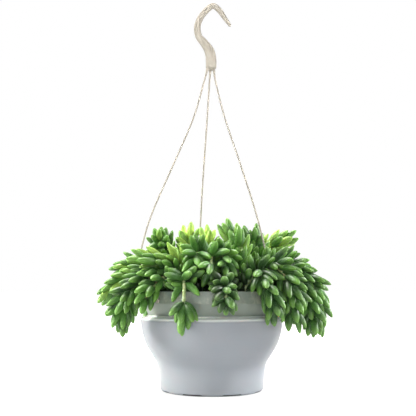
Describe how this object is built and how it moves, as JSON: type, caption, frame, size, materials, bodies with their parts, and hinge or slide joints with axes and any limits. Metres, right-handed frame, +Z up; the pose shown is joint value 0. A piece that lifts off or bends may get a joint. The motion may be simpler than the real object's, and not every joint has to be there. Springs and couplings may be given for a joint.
{
  "type": "potted hanging burro's tail plant",
  "caption": "Trailing burro's tail succulent in a round plastic hanging pot with a moulded hook and strand hanger; it hangs from the hook.",
  "frame": {"origin": "the seat inside the top of the hook, straight above the pot's axis, where the object hangs; the pot's underside is 0.552 m below it", "axes": "+Z up; -Y towards the side with the small hanging shoots; +X towards the hook's open side"},
  "size_m": [0.3242, 0.2616, 0.561],
  "materials": {
    "pot_plastic": "satin",
    "potting_mix": "matte",
    "hanger_plastic": "satin",
    "succulent": "satin"
  },
  "bodies": {
    "root": {"pot": "pot_plastic", "potting_mix": "potting_mix", "hanger": "hanger_plastic", "tail_front_right_inner": "succulent", "tail_front_right": "succulent", "tail_front_right_outer": "succulent", "tail_left": "succulent", "branch_left_front": "succulent", "hanging_front_left": "succulent", "hanging_front": "succulent", "tail_right": "succulent", "arch_front_left": "succulent", "arch_front_right": "succulent", "arch_front": "succulent", "branch_right": "succulent", "branch_upper_right": "succulent", "upright_front": "succulent", "upright_right": "succulent", "upright_centre": "succulent", "upright_centre_left": "succulent", "upright_left": "succulent", "branch_left_upper": "succulent", "branch_left": "succulent", "branch_far_left": "succulent", "shoot_front_right": "succulent", "tail_back": "succulent", "tail_back_left": "succulent", "tail_back_right": "succulent", "branch_right_back": "succulent", "branch_left_back": "succulent", "upright_back": "succulent", "upright_back_left": "succulent"}
  },
  "joints": []
}
